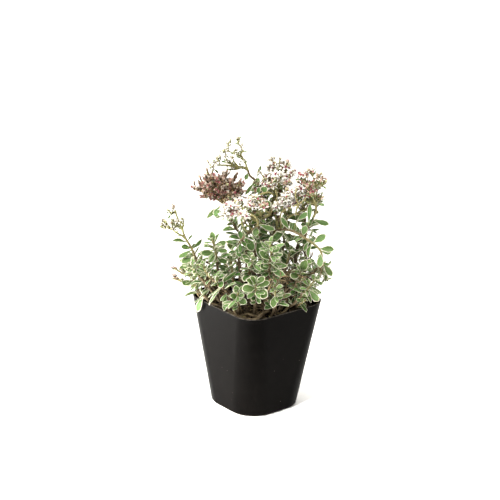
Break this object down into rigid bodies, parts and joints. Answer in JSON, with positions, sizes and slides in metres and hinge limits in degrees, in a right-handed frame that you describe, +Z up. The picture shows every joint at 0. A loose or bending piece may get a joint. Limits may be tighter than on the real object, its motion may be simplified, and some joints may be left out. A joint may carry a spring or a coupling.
{
  "type": "potted stonecrop",
  "caption": "Variegated two-row stonecrop with white-edged leaves and pink flower heads, growing in a black tapered square nursery pot.",
  "frame": {"origin": "centre of the pot's flat base, on the surface that it stands on", "axes": "+Z up the pot, X and Y square to the pot's walls"},
  "size_m": [0.1256, 0.141, 0.2395],
  "materials": {
    "pot": "satin black, faintly dusty",
    "soil": "crumbly peat with bark and dry litter",
    "foliage": "sage green leaves with cream edges on tan and brown stems",
    "fresh_flowers": "white petals, crimson buds, olive stalks",
    "spent_flowers": "dry brown-pink seed heads",
    "green_flowers": "olive-green stalks and buds with a few white florets"
  },
  "bodies": {
    "root": {"head_brown": "spent_flowers", "head_centre": "fresh_flowers", "head_left_airy": "green_flowers", "head_pink": "fresh_flowers", "head_right_tall": "fresh_flowers", "head_right_white": "fresh_flowers", "head_top_arching": "green_flowers", "head_white": "fresh_flowers", "pot": "pot", "soil": "soil", "stem_back_centre": "foliage", "stem_back_inner": "foliage", "stem_back_left": "foliage", "stem_back_low": "foliage", "stem_back_low_left": "foliage", "stem_back_outer_left": "foliage", "stem_back_outer_right": "foliage", "stem_back_right": "foliage", "stem_back_side": "foliage", "stem_brown_head": "foliage", "stem_centre_low": "foliage", "stem_centre_olive": "foliage", "stem_front_centre": "foliage", "stem_front_left": "foliage", "stem_front_low": "foliage", "stem_front_right_runner": "foliage", "stem_front_small": "foliage", "stem_front_upright": "foliage", "stem_left_flowering": "foliage", "stem_left_low": "foliage", "stem_left_middle": "foliage", "stem_left_outer": "foliage", "stem_left_pale": "foliage", "stem_left_rim": "foliage", "stem_left_runner": "foliage", "stem_left_side": "foliage", "stem_pink_head": "foliage", "stem_right_arching": "foliage", "stem_right_drooping": "foliage", "stem_right_front": "foliage", "stem_right_inner": "foliage", "stem_right_mid": "foliage", "stem_right_rim": "foliage", "stem_right_tall": "foliage", "stem_right_white_head": "foliage", "stem_top_arching": "foliage", "stem_upper_right": "foliage", "stem_white_head": "foliage"}
  },
  "joints": []
}
